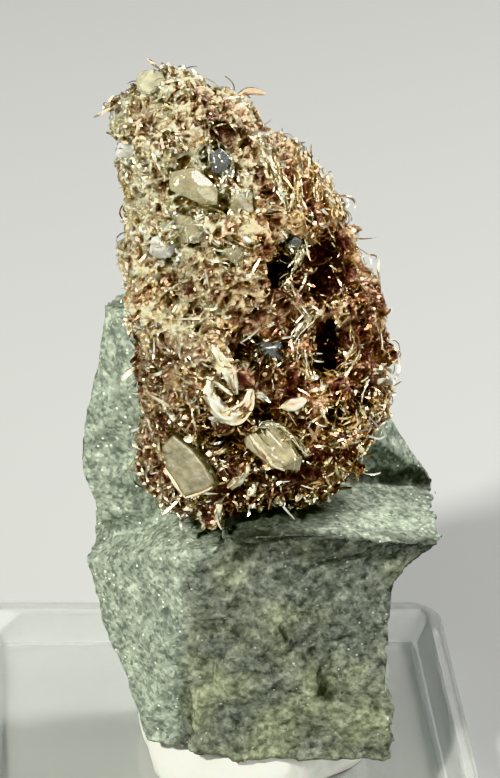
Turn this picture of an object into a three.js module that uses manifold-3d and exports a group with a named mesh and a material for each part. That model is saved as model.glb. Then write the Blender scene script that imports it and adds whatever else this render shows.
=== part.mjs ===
// Native gold on matrix: a hand specimen standing on putty in a shallow clear display tray.
// Millimetres, +Z up. The origin is the centre of the tray's underside; the viewer's side is -Y.
import * as THREE from "three";
import { ConvexGeometry } from "three/addons/geometries/ConvexGeometry.js";
import { TessellateModifier } from "three/addons/modifiers/TessellateModifier.js";
import { mergeVertices } from "three/addons/utils/BufferGeometryUtils.js";
import Module from "manifold-3d";

const wasm = await Module();
wasm.setup();

// ---- driving dimensions -------------------------------------------------------------------
const CLEARANCE = 0.3; // left between two pieces that grew or were pressed together

const TRAY_SIDE = 32;
const TRAY_HEIGHT = 3.4;
const TRAY_FLOOR = 1.2;
const TRAY_RIM = 1.0; // flat top of the wall
const TRAY_DRAFT = 1.0; // how far the wall's inner face leans out from floor to rim
const TRAY_CORNER = 2.2; // radius
const TRAY_CORNER_SEGMENTS = 6;

const PUTTY_MIDDLE = [1.9, 0.9];
const PUTTY_HALF_WIDTH = 7.2;
const PUTTY_HALF_DEPTH = 5.3;
const PUTTY_COLUMNS = 28;
// Where thumbs left it wider: bulges around, their height as a share and where they start.
const PUTTY_SWELLS = [
  { around: 3, height: 0.07, start: 0.6 },
  { around: 5, height: 0.05, start: 2.0 },
];

const ROCK_FOOT = 4.7; // height of the stone's underside
const ROCK_FACET = 3.3; // longest edge of a facet on the broken stone
const ROCK_FACET_PASSES = 12;
const ROCK_RELIEF = 0.84; // depth of its unevenness
const ROCK_UNEVENNESS = [
  { cell: 3.1, share: 0.65 },
  { cell: 1.1, share: 0.35 },
];

const GOLD_SEED = 24;
const GOLD_ROUNDNESS = 0.8; // 1 makes its level slices ellipses, less makes them squarer
const GOLD_END_FULLNESS = 3.5; // how bluntly the mass closes at its top and foot
const GOLD_COLUMNS = 36;
const GOLD_ROWS = 30;
const GOLD_LUMPS = [
  { cell: 2.9, height: 1.6, level: 0.55 },
  { cell: 0.62, height: 1.4, level: 0.5 },
];

const LEAF_COUNT = 42;
const LEAF_THICKNESS = 0.34;
const LEAF_LENGTH = [1.1, 2.1];
const LEAF_WIDTH = [0.9, 1.8];
const LEAF_CURL = [-1.0, 1.8]; // radians from root to tip
const LEAF_TAPER = [0.55, 0.95]; // how much narrower the tip is than the root
const LEAF_LEAN = [-1.3, 1.3]; // off the surface's normal, in each axis
const LEAF_BURIED = 0.42; // share of the length that stays inside the mass

const CAVITY_ROUGHNESS = { cell: 0.7, smallest: 0.85, largest: 1.2 };

const CRYSTAL_SEED = 7;
const CRYSTAL_UNEVENNESS = [0.86, 1.1];

// ---- helpers ------------------------------------------------------------------------------
// Repeatable random numbers from 0 to 1.
function seededRandom(seed) {
  let state = seed;
  return () => {
    state = (state + 0x6d2b79f5) | 0;
    let t = Math.imul(state ^ (state >>> 15), 1 | state);
    t = (t + Math.imul(t ^ (t >>> 7), 61 | t)) ^ t;
    return ((t ^ (t >>> 14)) >>> 0) / 2 ** 32;
  };
}

const within = ([low, high], t) => low + (high - low) * t;

// A number from 0 to 1 that looks random, for a corner of a cubic lattice.
function cornerValue(x, y, z) {
  const [strideX, strideY, strideZ, scale] = [127.1, 311.7, 74.7, 43758.5453];
  const s = Math.sin(x * strideX + y * strideY + z * strideZ) * scale;
  return s - Math.floor(s);
}

// Smooth noise from 0 to 1 at a point, between the corners of the lattice.
function noise(point, cell) {
  const base = point.clone().divideScalar(cell);
  const corner = base.clone().floor();
  const part = base.sub(corner);
  const weight = (t) => t * t * (3 - 2 * t);
  let total = 0;
  for (let k = 0; k < 8; k++) {
    const [dx, dy, dz] = [k & 1, (k >> 1) & 1, k >> 2];
    const share =
      (dx ? weight(part.x) : 1 - weight(part.x)) *
      (dy ? weight(part.y) : 1 - weight(part.y)) *
      (dz ? weight(part.z) : 1 - weight(part.z));
    total += share * cornerValue(corner.x + dx, corner.y + dy, corner.z + dz);
  }
  return total;
}

function weld(geometry) {
  const bare = geometry.clone();
  bare.deleteAttribute("normal");
  bare.deleteAttribute("uv");
  return mergeVertices(bare, 1e-4);
}

function toSolid(geometry) {
  const welded = weld(geometry);
  return new wasm.Manifold(
    new wasm.Mesh({
      numProp: 3,
      vertProperties: new Float32Array(welded.attributes.position.array),
      triVerts: new Uint32Array(welded.index.array),
    }),
  );
}

function toGeometry(solid) {
  const mesh = solid.getMesh();
  return new THREE.BufferGeometry()
    .setAttribute("position", new THREE.BufferAttribute(mesh.vertProperties, 3))
    .setIndex(new THREE.BufferAttribute(mesh.triVerts, 1));
}

const join = (solids) => solids.reduce((all, solid) => all.add(solid));

// What stays in one piece after a cut: chips that came loose are dropped.
function largest(solid) {
  return solid.decompose().reduce((a, b) => (a.volume() > b.volume() ? a : b));
}

function hull(points) {
  return new ConvexGeometry(points.map((p) => new THREE.Vector3(...p)));
}

// A hull whose every point is moved outwards from the hull's middle by a fixed distance.
function grownHull(points, growth) {
  const corners = points.map((p) => new THREE.Vector3(...p));
  const sum = corners.reduce((total, p) => total.add(p), new THREE.Vector3());
  const middle = sum.divideScalar(corners.length);
  return new ConvexGeometry(
    corners.map((p) => p.clone().add(p.clone().sub(middle).setLength(growth))),
  );
}

function moveVertices(geometry, mover) {
  const position = geometry.attributes.position;
  const point = new THREE.Vector3();
  for (let i = 0; i < position.count; i++) {
    point.fromBufferAttribute(position, i);
    mover(point, i);
    position.setXYZ(i, point.x, point.y, point.z);
  }
  return geometry;
}

// Breaks large faces into facets and sinks them unevenly, as on broken stone.
function roughen(geometry) {
  const tessellate = new TessellateModifier(ROCK_FACET, ROCK_FACET_PASSES);
  const fine = weld(tessellate.modify(geometry.toNonIndexed()));
  fine.computeVertexNormals();
  const normals = fine.attributes.normal;
  const outward = new THREE.Vector3();
  return moveVertices(fine, (point, i) => {
    const depth = ROCK_UNEVENNESS.reduce((sum, u) => sum + u.share * noise(point, u.cell), 0);
    outward.fromBufferAttribute(normals, i);
    point.addScaledVector(outward, -ROCK_RELIEF * depth);
  });
}

// ---- display tray -------------------------------------------------------------------------
function roundedSquare(side, radius) {
  const half = side / 2;
  const inner = half - radius;
  const shape = new THREE.Shape();
  shape.moveTo(-inner, -half);
  shape.lineTo(inner, -half);
  shape.absarc(inner, -inner, radius, -Math.PI / 2, 0);
  shape.absarc(inner, inner, radius, 0, Math.PI / 2);
  shape.absarc(-inner, inner, radius, Math.PI / 2, Math.PI);
  shape.absarc(-inner, -inner, radius, Math.PI, Math.PI * 1.5);
  return shape;
}

function displayTray() {
  const block = new THREE.ExtrudeGeometry(roundedSquare(TRAY_SIDE, TRAY_CORNER), {
    depth: TRAY_HEIGHT,
    bevelEnabled: false,
    curveSegments: TRAY_CORNER_SEGMENTS,
  });
  const depth = TRAY_HEIGHT - TRAY_FLOOR;
  const rimHalf = TRAY_SIDE / 2 - TRAY_RIM;
  const floorHalf = rimHalf - TRAY_DRAFT;
  const overshoot = 1; // the recess cutter runs this far above the rim at the same slope
  const topHalf = rimHalf + (TRAY_DRAFT * overshoot) / depth;
  const recess = new THREE.CylinderGeometry(
    topHalf * Math.SQRT2,
    floorHalf * Math.SQRT2,
    depth + overshoot,
    4,
  );
  recess.rotateX(Math.PI / 2).rotateZ(Math.PI / 4);
  recess.translate(0, 0, TRAY_FLOOR + (depth + overshoot) / 2);
  return toGeometry(toSolid(block).subtract(toSolid(recess)));
}

// ---- mounting putty -----------------------------------------------------------------------
// Its side from the middle of the underside: radius and height, as shares.
const PUTTY_PROFILE = [
  [0, 0],
  [0.86, 0],
  [1, 0.22],
  [0.98, 0.55],
  [0.9, 0.9],
  [0.84, 1],
  [0, 1],
];

function mountingPutty() {
  const height = ROCK_FOOT - CLEARANCE - TRAY_FLOOR;
  const profile = PUTTY_PROFILE.map(([r, h]) => new THREE.Vector2(r, h * height));
  const blob = new THREE.LatheGeometry(profile, PUTTY_COLUMNS).rotateX(Math.PI / 2);
  moveVertices(blob, (point) => {
    const angle = Math.atan2(point.y, point.x);
    const swell = PUTTY_SWELLS.reduce(
      (sum, { around, height, start }) => sum + height * Math.sin(around * angle + start),
      1,
    );
    point.x = PUTTY_MIDDLE[0] + point.x * PUTTY_HALF_WIDTH * swell;
    point.y = PUTTY_MIDDLE[1] + point.y * PUTTY_HALF_DEPTH * swell;
    point.z += TRAY_FLOOR;
  });
  return toGeometry(toSolid(blob));
}

// ---- matrix rock --------------------------------------------------------------------------
const ROCK_BASE = [
  // underside
  [-5.0, -3.1, ROCK_FOOT],
  [-2.4, -4.1, ROCK_FOOT],
  [9.6, -5.4, ROCK_FOOT],
  [9.6, 6.4, ROCK_FOOT],
  [-3.6, 6.9, ROCK_FOOT],
  // left flank
  [-7.9, -0.8, 11.2],
  [-9.1, 0.3, 16.2],
  [-8.6, 6.0, 16.6],
  // front, left to right
  [-2.7, -6.0, 20.6],
  [0.8, -6.0, 21.4],
  [9.2, -5.4, 20.4],
  [9.9, -5.5, 17.4],
  [9.8, -5.5, 8.8],
  // back
  [9.6, 7.2, 20.0],
  [-6.0, 7.8, 18.0],
];
// The projecting shelf that the metal stands on, pointed at the right.
const ROCK_LEDGE = [
  [-1.4, -6.3, 21.5],
  [0.4, -6.6, 22.0],
  [4.4, -6.7, 22.2],
  [9.2, -6.1, 21.3],
  [12.6, -5.0, 20.5],
  [13.8, 3.0, 19.7],
  [12.7, 3.2, 18.6],
  [9.4, -5.5, 17.2],
  [9.0, 4.0, 15.6],
  [1.0, -6.0, 20.2],
  [0.0, 2.0, 21.6],
  [10.6, 6.8, 20.0],
];
// The sheet of stone that rises behind the metal.
const ROCK_SLAB = [
  // left column, bottom to top
  [-8.3, 1.2, 17.9],
  [-9.4, 1.7, 21.5],
  [-9.2, 2.2, 27.0],
  [-8.2, 3.0, 32.4],
  // front of the left shoulder
  [-6.0, 0.1, 19.5],
  [-6.0, 0.6, 33.4],
  // upper edge, falling to the right
  [-0.5, 3.2, 33.6],
  [10.5, 5.0, 24.0],
  [13.2, 3.3, 20.2],
  // back
  [-7.4, 7.0, 31.4],
  [-1.0, 8.0, 32.4],
  [9.2, 8.0, 24.2],
  [11.0, 6.8, 19.4],
  [8.0, 6.0, 12.0],
  [-3.0, 6.2, 12.0],
  [-7.8, 6.8, 17.6],
];
// A layer that the front face broke back to, leaving its lower part proud: outline in X and Z.
const ROCK_LAYER = [
  [-2.2, ROCK_FOOT],
  [-2.1, 9.6],
  [-1.0, 10.3],
  [-0.9, 11.8],
  [-0.3, 13.1],
  [0.6, 14.0],
  [1.3, 14.9],
  [2.4, 15.2],
  [3.0, 14.6],
  [3.4, 13.1],
  [4.4, 13.0],
  [5.3, 11.7],
  [5.5, 10.5],
  [6.7, 9.6],
  [7.9, 8.6],
  [9.2, 8.4],
  [9.5, ROCK_FOOT],
];
const ROCK_LAYER_GROWTH = 0.9; // how much larger the block is where this layer is left
// Bites out of the stone: centre and half sizes.
const ROCK_BITES = [
  { at: [6.0, -6.0, 10.4], size: [0.7, 1.2, 0.8] },
  { at: [11.6, -4.4, 13.6], size: [1.7, 3.2, 1.9] },
  { at: [-4.4, 8.0, 25.0], size: [3.0, 1.3, 2.4] },
  { at: [5.0, 7.6, 13.0], size: [3.4, 1.2, 2.6] },
  { at: [-8.9, -0.6, 18.0], size: [1.2, 1.6, 0.7] },
];

function bite({ at, size }) {
  const lump = new THREE.IcosahedronGeometry(1, 0);
  lump.scale(...size).translate(...at);
  return toSolid(lump);
}

function rockLayer() {
  const depth = 12;
  const prism = new THREE.ExtrudeGeometry(
    new THREE.Shape(ROCK_LAYER.map(([x, z]) => new THREE.Vector2(x, z))),
    { depth, bevelEnabled: false },
  );
  prism.rotateX(Math.PI / 2); // stands the outline up in X and Z, reaching towards -Y
  return toSolid(prism).intersect(toSolid(grownHull(ROCK_BASE, ROCK_LAYER_GROWTH)));
}

function matrixRock() {
  const blocks = join([ROCK_BASE, ROCK_LEDGE, ROCK_SLAB].map((points) => toSolid(hull(points))));
  const bitten = ROCK_BITES.reduce((rock, b) => rock.subtract(bite(b)), blocks.add(rockLayer()));
  return toGeometry(toSolid(roughen(toGeometry(bitten))));
}

// The room that the stone takes, with clearance, for cutting what grew on it.
function rockRoom() {
  const blocks = [ROCK_BASE, ROCK_LEDGE, ROCK_SLAB];
  return join(blocks.map((points) => toSolid(grownHull(points, CLEARANCE))));
}

// ---- gold mass ----------------------------------------------------------------------------
// The mass in level slices: z, left, right, front, back.
const GOLD_SECTIONS = [
  [19.6, -3.4, 3.0, -3.0, 3.5],
  [21.0, -5.0, 4.6, -4.1, 4.0],
  [23.0, -5.9, 6.9, -4.8, 5.0],
  [26.0, -6.2, 8.4, -5.0, 5.6],
  [28.5, -6.1, 9.5, -4.9, 6.0],
  [31.0, -6.1, 8.9, -4.6, 6.2],
  [34.0, -6.5, 7.8, -4.0, 6.2],
  [37.0, -6.7, 6.8, -3.4, 6.0],
  [40.0, -6.9, 5.4, -2.6, 5.6],
  [41.8, -6.9, 4.4, -1.9, 5.2],
  [42.8, -7.2, 2.9, -1.5, 5.0],
  [43.6, -7.5, 0.6, -1.2, 5.2],
  [45.0, -7.3, 0.1, -0.9, 5.0],
  [46.2, -6.8, -0.8, -0.1, 4.4],
  [47.2, -6.2, -2.0, 0.4, 3.9],
  [48.1, -5.6, -3.4, 1.2, 3.3],
];

function goldSliceAt(z) {
  const next = Math.max(1, GOLD_SECTIONS.findIndex((s) => s[0] >= z));
  const [low, high] = [GOLD_SECTIONS[next - 1], GOLD_SECTIONS[next]];
  const t = (z - low[0]) / (high[0] - low[0]);
  return low.slice(1).map((v, k) => v + (high[k + 1] - v) * t);
}

// The lumpy body that carries the leaves.
function goldBody() {
  const bottom = GOLD_SECTIONS[0][0];
  const top = GOLD_SECTIONS[GOLD_SECTIONS.length - 1][0];
  const profile = [];
  for (let row = 0; row <= GOLD_ROWS; row++) {
    const t = row / GOLD_ROWS;
    const rounding = Math.min(1, GOLD_END_FULLNESS * Math.sqrt(t * (1 - t)));
    profile.push(new THREE.Vector2(rounding, bottom + (top - bottom) * t));
  }
  const body = new THREE.LatheGeometry(profile, GOLD_COLUMNS).rotateX(Math.PI / 2);
  const soften = (v) => Math.sign(v) * Math.pow(Math.abs(v), GOLD_ROUNDNESS);
  const outward = new THREE.Vector3();
  moveVertices(body, (point) => {
    const [left, right, front, back] = goldSliceAt(point.z);
    const radius = Math.hypot(point.x, point.y);
    const angle = Math.atan2(point.y, point.x);
    outward.set(Math.cos(angle) * radius, Math.sin(angle) * radius, 0);
    point.x = (left + right) / 2 + ((right - left) / 2) * radius * soften(Math.cos(angle));
    point.y = (front + back) / 2 + ((back - front) / 2) * radius * soften(Math.sin(angle));
    const lump = (sum, { cell, height, level }) => sum + height * (noise(point, cell) - level);
    point.addScaledVector(outward, GOLD_LUMPS.reduce(lump, 0));
  });
  return toSolid(body);
}

// Cavities between the leaves: centre and half sizes.
const CAVITIES = [
  { at: [1.9, -3.2, 37.6], size: [1.1, 1.4, 1.2] },
  { at: [4.9, -2.5, 37.6], size: [1.6, 1.3, 2.3] },
  { at: [4.9, -3.6, 32.8], size: [0.9, 1.5, 1.9] },
  { at: [0.4, -4.3, 32.9], size: [1.4, 1.4, 1.0] },
  { at: [7.0, -3.3, 29.5], size: [1.2, 1.3, 0.7] },
  { at: [5.3, -4.5, 29.2], size: [1.0, 1.3, 0.6] },
  { at: [-0.3, -4.9, 27.2], size: [1.0, 1.3, 1.1] },
  { at: [-1.6, -1.2, 45.2], size: [0.9, 1.2, 0.7] },
];

function cavity({ at, size }) {
  const { cell, smallest, largest } = CAVITY_ROUGHNESS;
  const hollow = new THREE.IcosahedronGeometry(1, 1);
  moveVertices(hollow, (p) => {
    p.multiplyScalar(within([smallest, largest], noise(p.clone().addScalar(at[0]), cell)));
  });
  hollow.scale(...size).translate(...at);
  return toSolid(hollow);
}

// A small curled leaf of metal that stands on the surface at a point.
function leaf(random, place, outward) {
  const length = within(LEAF_LENGTH, random());
  const width = within(LEAF_WIDTH, random());
  const curl = within(LEAF_CURL, random());
  const taper = within(LEAF_TAPER, random());
  const blade = new THREE.BoxGeometry(width, LEAF_THICKNESS, length, 1, 1, 3);
  moveVertices(blade, (p) => {
    const along = p.z / length + 0.5;
    const angle = curl * along;
    const radius = length / curl;
    p.set(
      p.x * (1 - taper * along),
      radius * (1 - Math.cos(angle)) + p.y * Math.cos(angle),
      (radius - p.y) * Math.sin(angle) - length * LEAF_BURIED,
    );
  });
  const lean = new THREE.Vector3(...[0, 1, 2].map(() => within(LEAF_LEAN, random())));
  const direction = outward.clone().add(lean).normalize();
  const turn = new THREE.Quaternion().setFromUnitVectors(new THREE.Vector3(0, 0, 1), direction);
  const spin = new THREE.Quaternion().setFromAxisAngle(direction, random() * Math.PI * 2);
  blade.applyQuaternion(turn).applyQuaternion(spin);
  return toSolid(blade.translate(place.x, place.y, place.z));
}

// The largest leaves and strands, each a band along a few points, with its width and thickness.
const BANDS = [
  {
    // the broad leaf curled into a C
    path: [
      [-2.1, -4.6, 30.4],
      [-1.9, -5.3, 29.7],
      [-0.9, -5.6, 29.4],
      [0.0, -5.3, 29.8],
      [0.4, -4.7, 30.6],
    ],
    width: 1.0,
    thickness: 0.35,
  },
  {
    // the long leaf that hangs into it
    path: [
      [-2.2, -3.8, 33.8],
      [-1.6, -4.7, 33.0],
      [-1.0, -5.2, 32.1],
      [-0.6, -4.7, 31.0],
    ],
    width: 0.9,
    thickness: 0.35,
  },
  {
    // two strands that run down the right shoulder
    path: [
      [2.1, -0.5, 42.4],
      [2.5, -1.8, 41.6],
      [2.7, -2.5, 40.6],
      [2.6, -2.6, 39.5],
    ],
    width: 0.6,
    thickness: 0.4,
  },
  {
    path: [
      [3.2, -0.4, 41.6],
      [3.9, -1.5, 40.8],
      [3.8, -2.3, 39.9],
      [3.6, -2.4, 38.9],
    ],
    width: 0.6,
    thickness: 0.4,
  },
  {
    // two leaves at the foot
    path: [
      [0.3, -4.5, 26.8],
      [0.0, -5.6, 25.8],
      [-0.6, -5.0, 24.6],
    ],
    width: 0.9,
    thickness: 0.35,
  },
  {
    path: [
      [-1.0, -4.2, 24.0],
      [-1.4, -5.0, 22.9],
      [-1.8, -4.9, 22.0],
    ],
    width: 0.8,
    thickness: 0.35,
  },
];

function band({ path, width, thickness }) {
  const section = new THREE.Shape();
  const [u, v] = [thickness / 2, width / 2];
  section.moveTo(-u, -v).lineTo(u, -v).lineTo(u, v).lineTo(-u, v).closePath();
  return toSolid(
    new THREE.ExtrudeGeometry(section, {
      steps: 2 * path.length,
      bevelEnabled: false,
      extrudePath: new THREE.CatmullRomCurve3(path.map((p) => new THREE.Vector3(...p))),
    }),
  );
}

// Points spread evenly over a surface, each with the direction out of it.
function surfacePoints(solid, count, random) {
  const surface = toGeometry(solid).toNonIndexed();
  const position = surface.attributes.position;
  const faces = [];
  let area = 0;
  for (let i = 0; i < position.count; i += 3) {
    const corners = [0, 1, 2].map((k) => new THREE.Vector3().fromBufferAttribute(position, i + k));
    const face = new THREE.Triangle(...corners);
    area += face.getArea();
    faces.push({ face, upTo: area });
  }
  return Array.from({ length: count }, (_, n) => {
    const wanted = ((n + random()) / count) * area;
    const { face } = faces.find((f) => f.upTo >= wanted);
    const [u, v] = [random(), random()];
    const [s, t] = u + v > 1 ? [1 - u, 1 - v] : [u, v];
    const place = face.a
      .clone()
      .addScaledVector(face.b.clone().sub(face.a), s)
      .addScaledVector(face.c.clone().sub(face.a), t);
    return { place, outward: face.getNormal(new THREE.Vector3()) };
  });
}

function goldMass() {
  const random = seededRandom(GOLD_SEED);
  const room = join([rockRoom(), ...CRYSTALS.map((c, n) => toSolid(crystal(c, n, CLEARANCE)))]);
  const body = goldBody().subtract(rockRoom());
  const hollowed = CAVITIES.reduce((gold, c) => gold.subtract(cavity(c)), body);
  const leaves = surfacePoints(hollowed, LEAF_COUNT, random).map(({ place, outward }) =>
    leaf(random, place, outward),
  );
  return toGeometry(largest(join([hollowed, ...leaves, ...BANDS.map(band)]).subtract(room)));
}

// ---- quartz crystals in the gold ----------------------------------------------------------
// Each crystal: its name, then middle, the way it faces, turn about that, and width, height, depth.
const CRYSTALS = [
  ["quartz_plate", [-3.3, -4.5, 25.3], [-0.4, -0.8, 0.45], -0.6, [2.8, 2.9, 1.3]],
  ["quartz_block", [2.1, -4.9, 26.8], [0.1, -0.85, 0.5], -0.8, [3.6, 1.5, 1.6]],
  ["quartz_window", [-3.1, -1.7, 41.6], [-0.1, -0.9, 0.4], 0.1, [2.3, 1.9, 1.4]],
  ["quartz_grain_4", [-3.8, -2.7, 39.9], [-0.2, -0.9, 0.3], 0.2, [1.4, 1.8, 1.4]],
  ["quartz_grain_5", [-6.9, 0.7, 43.2], [-0.8, -0.6, 0.1], 0.3, [1.4, 1.1, 1.4]],
  ["quartz_grain_6", [-5.1, -1.8, 38.0], [-0.5, -0.8, 0.2], -0.3, [1.2, 1.5, 1.3]],
  ["quartz_grain_7", [-1.8, -1.2, 43.4], [0.1, -0.8, 0.6], 0.5, [1.3, 1.1, 1.2]],
  ["quartz_grain_8", [-0.6, -1.9, 41.1], [0.2, -0.9, 0.4], -0.1, [1.7, 1.1, 1.3]],
  ["quartz_grain_9", [-1.0, -2.9, 38.5], [0.0, -0.9, 0.4], 0.6, [1.6, 1.3, 1.3]],
  ["quartz_grain_10", [1.7, -3.3, 32.4], [0.2, -1.0, 0.1], 0.1, [1.3, 1.6, 1.3]],
  ["quartz_grain_11", [-5.9, 2.2, 46.9], [-0.5, -0.3, 0.8], 0.4, [1.6, 1.4, 1.6]],
  ["quartz_grain_12", [2.5, -2.3, 39.0], [0.3, -0.9, 0.2], 0.8, [1.0, 0.9, 1.1]],
];

// A block with a smaller sloping face in front, its corners a little uneven. Growth enlarges it
// on every side.
function crystal([, at, facing, turn, size], index, growth = 0) {
  const random = seededRandom(CRYSTAL_SEED + index);
  const uneven = () => within(CRYSTAL_UNEVENNESS, random());
  const [width, height, thickness] = size;
  const rings = [
    { scale: [0.8, 0.8], depth: -0.5 },
    { scale: [1, 1], depth: 0.15 },
    { scale: [0.72, 0.6], depth: 0.5 },
  ];
  const corners = [[-1, -1], [1, -1], [1, 1], [-1, 1]];
  const points = rings.flatMap(({ scale, depth }) =>
    corners.map(
      ([x, y]) =>
        new THREE.Vector3(
          x * ((scale[0] * width * uneven()) / 2 + growth),
          y * ((scale[1] * height * uneven()) / 2 + growth),
          depth * (thickness * uneven() + 2 * growth),
        ),
    ),
  );
  const forward = new THREE.Vector3(...facing).normalize();
  const [middle, upright] = [new THREE.Vector3(), new THREE.Vector3(0, 0, 1)];
  const block = new ConvexGeometry(points).rotateZ(turn);
  block.applyMatrix4(new THREE.Matrix4().lookAt(forward, middle, upright));
  return block.translate(...at);
}

// ---- the specimen -------------------------------------------------------------------------
const material = (color, roughness, metalness, extra = {}) =>
  new THREE.MeshStandardMaterial({ color, roughness, metalness, ...extra });

const specimen = new THREE.Group();
specimen.name = "native_gold_specimen";

function addPiece(name, geometry, surface) {
  const mesh = new THREE.Mesh(geometry, surface);
  mesh.name = name;
  specimen.add(mesh);
}

const clear = { transparent: true, opacity: 0.35 };
const hazy = { transparent: true, opacity: 0.6 };
addPiece("display_tray", displayTray(), material(0xe6efe6, 0.12, 0, clear));
addPiece("mounting_putty", mountingPutty(), material(0xe9ebe4, 0.55, 0));
addPiece("matrix_rock", matrixRock(), material(0x7d8672, 0.85, 0));
addPiece("gold_mass", goldMass(), material(0xc9a86a, 0.35, 1));
CRYSTALS.forEach((c, n) => addPiece(c[0], crystal(c, n), material(0xb9b796, 0.1, 0, hazy)));

export default specimen;
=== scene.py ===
"""Native gold with quartz on greenstone, standing on putty in a clear tray.

Sizes are in millimetres until a mesh is made, in the frame's own axes: +Z up, the viewer at -Y.
"""
import itertools
import math

import bpy
import numpy as np
from mathutils import Matrix, Vector
from numpy.linalg import norm


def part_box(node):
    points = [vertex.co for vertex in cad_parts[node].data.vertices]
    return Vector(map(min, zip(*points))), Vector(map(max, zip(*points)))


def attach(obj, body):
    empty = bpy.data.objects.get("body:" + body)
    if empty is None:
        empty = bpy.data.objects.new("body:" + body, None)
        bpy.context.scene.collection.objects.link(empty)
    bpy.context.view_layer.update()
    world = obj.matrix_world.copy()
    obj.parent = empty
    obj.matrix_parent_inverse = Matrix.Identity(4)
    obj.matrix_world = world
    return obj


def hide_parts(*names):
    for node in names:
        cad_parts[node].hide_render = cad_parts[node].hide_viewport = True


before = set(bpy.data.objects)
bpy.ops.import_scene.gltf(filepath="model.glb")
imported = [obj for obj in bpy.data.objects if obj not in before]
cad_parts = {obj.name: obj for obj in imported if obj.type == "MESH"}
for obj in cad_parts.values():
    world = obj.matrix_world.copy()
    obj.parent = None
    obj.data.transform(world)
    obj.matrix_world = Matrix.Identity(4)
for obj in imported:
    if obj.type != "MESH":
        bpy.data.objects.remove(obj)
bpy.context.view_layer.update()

scene = bpy.context.scene

MM = 0.001
SEED = 11

# the tray and the height of the stone's underside, as in the CAD
TRAY_HALF = 16.0
TRAY_HEIGHT = 3.4
TRAY_FLOOR = 1.2
TRAY_RIM = 1.0
TRAY_DRAFT = 1.0
TRAY_CORNER = 2.2
ROCK_FOOT = 4.7

# how the tray's edges are rounded
TRAY_SOFTNESS = 0.28
TRAY_INNER_CORNER = 0.5
EDGE_STEPS = 5
CORNER_STEPS = 10

# the camera, worked out from the tray's edges
CAMERA_PLACE = (-14.574, -157.802, 111.460)
CAMERA_FORWARD = (0.08555, 0.88123, -0.46489)
CAMERA_UP = (-0.00602, 0.46705, 0.88421)
CAMERA_LENS = 138.8  # on Blender's own sensor, 36 mm wide


# ---- noise ----
AXIS_FACTORS = np.array([374761393, 668265263, 1442695041])
SEED_FACTOR = 1274126177
SCRAMBLES = ((13, 1274126177), (15, 1103515245))  # bits to shift by, then a factor
BITS_32, BITS_24 = 0xFFFFFFFF, 0xFFFFFF


def hashed(lattice, seed):
    """A random number from 0 to 1 for each lattice point."""
    h = (lattice @ AXIS_FACTORS + seed * SEED_FACTOR) & BITS_32
    for shift, factor in SCRAMBLES:
        h = ((h ^ (h >> shift)) * factor) & BITS_32
    return ((h ^ (h >> 16)) & BITS_24) / BITS_24


def noise(points, cell, seed):
    """Smooth noise from -1 to 1."""
    scaled = points / cell
    base = np.floor(scaled).astype(np.int64)
    part = scaled - base
    weight = part * part * (3 - 2 * part)
    total = np.zeros(len(points))
    for corner in itertools.product((0, 1), repeat=3):
        share = np.where(corner, weight, 1 - weight).prod(axis=1)
        total += share * hashed(base + np.array(corner), seed)
    return 2 * total - 1


def fractal(points, cell, octaves, seed):
    """Noise with finer and fainter noise on it, about -1 to 1."""
    total = np.zeros(len(points))
    for octave in range(octaves):
        total += noise(points, cell / 2**octave, seed + octave) / 2**octave
    return total / (2 - 0.5 ** (octaves - 1))


def noise_vectors(points, cell, seed):
    return np.stack([noise(points, cell, seed + axis) for axis in range(3)], axis=1)


def cells(points, cell, seed):
    """Distance to the nearest and the next of scattered points, and a number for the nearest."""
    scaled = points / cell
    base = np.floor(scaled).astype(np.int64)
    nearest = np.full(len(points), np.inf)
    second = nearest.copy()
    number = np.zeros(len(points))
    for offset in itertools.product((-1, 0, 1), repeat=3):
        lattice = base + np.array(offset)
        spot = lattice + np.stack([hashed(lattice, seed + axis) for axis in range(3)], axis=1)
        distance = norm(scaled - spot, axis=1)
        closer = distance < nearest
        second = np.where(closer, nearest, np.minimum(second, distance))
        number = np.where(closer, hashed(lattice, seed + 3), number)
        nearest = np.where(closer, distance, nearest)
    return nearest, second, number


def smoothstep(low, high, value):
    t = np.clip((value - low) / (high - low), 0, 1)
    return t * t * (3 - 2 * t)


# ---- meshes ----
def placed(name, data):
    """A new object in the scene."""
    item = bpy.data.objects.new(name, data)
    scene.collection.objects.link(item)
    return item


def new_piece(name, points, triangles, material, slot, replaced=(), smooth=False, **values):
    """Makes a mesh piece on the root body, from points in millimetres, with a number per point for
    each name in values."""
    mesh = bpy.data.meshes.new(name)
    mesh.from_pydata(points * MM, [], triangles, shade_flat=not smooth)
    for label, numbers in values.items():
        attribute = mesh.attributes.new(label, "FLOAT", "POINT")
        attribute.data.foreach_set("value", numbers.astype(np.float32))
    mesh.materials.append(material)
    piece = placed(name, mesh)
    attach(piece, "root")
    if replaced:
        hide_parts(*replaced)


def remeshed(mesh, voxel, weld=False):
    """A mesh's points and triangles, in millimetres, after it is made of small even faces."""
    scratch = placed("scratch", mesh)
    if weld:
        scratch.modifiers.new("weld", "WELD").merge_threshold = 0.001
    remesh = scratch.modifiers.new("remesh", "REMESH")
    remesh.mode = "VOXEL"
    remesh.voxel_size = voxel
    evaluated = scratch.evaluated_get(bpy.context.evaluated_depsgraph_get())
    even = evaluated.to_mesh()
    even.calc_loop_triangles()
    points = np.empty(len(even.vertices) * 3, np.float32)
    even.vertices.foreach_get("co", points)
    triangles = np.empty(len(even.loop_triangles) * 3, np.int32)
    even.loop_triangles.foreach_get("vertices", triangles)
    bpy.data.objects.remove(scratch)
    return points.reshape(-1, 3).astype(float), triangles.reshape(-1, 3)


def node_mesh(node):
    """A copy of a CAD node's mesh, in millimetres."""
    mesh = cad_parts[node].data.copy()
    mesh.transform(Matrix.Scale(1 / MM, 4))
    return mesh


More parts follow.
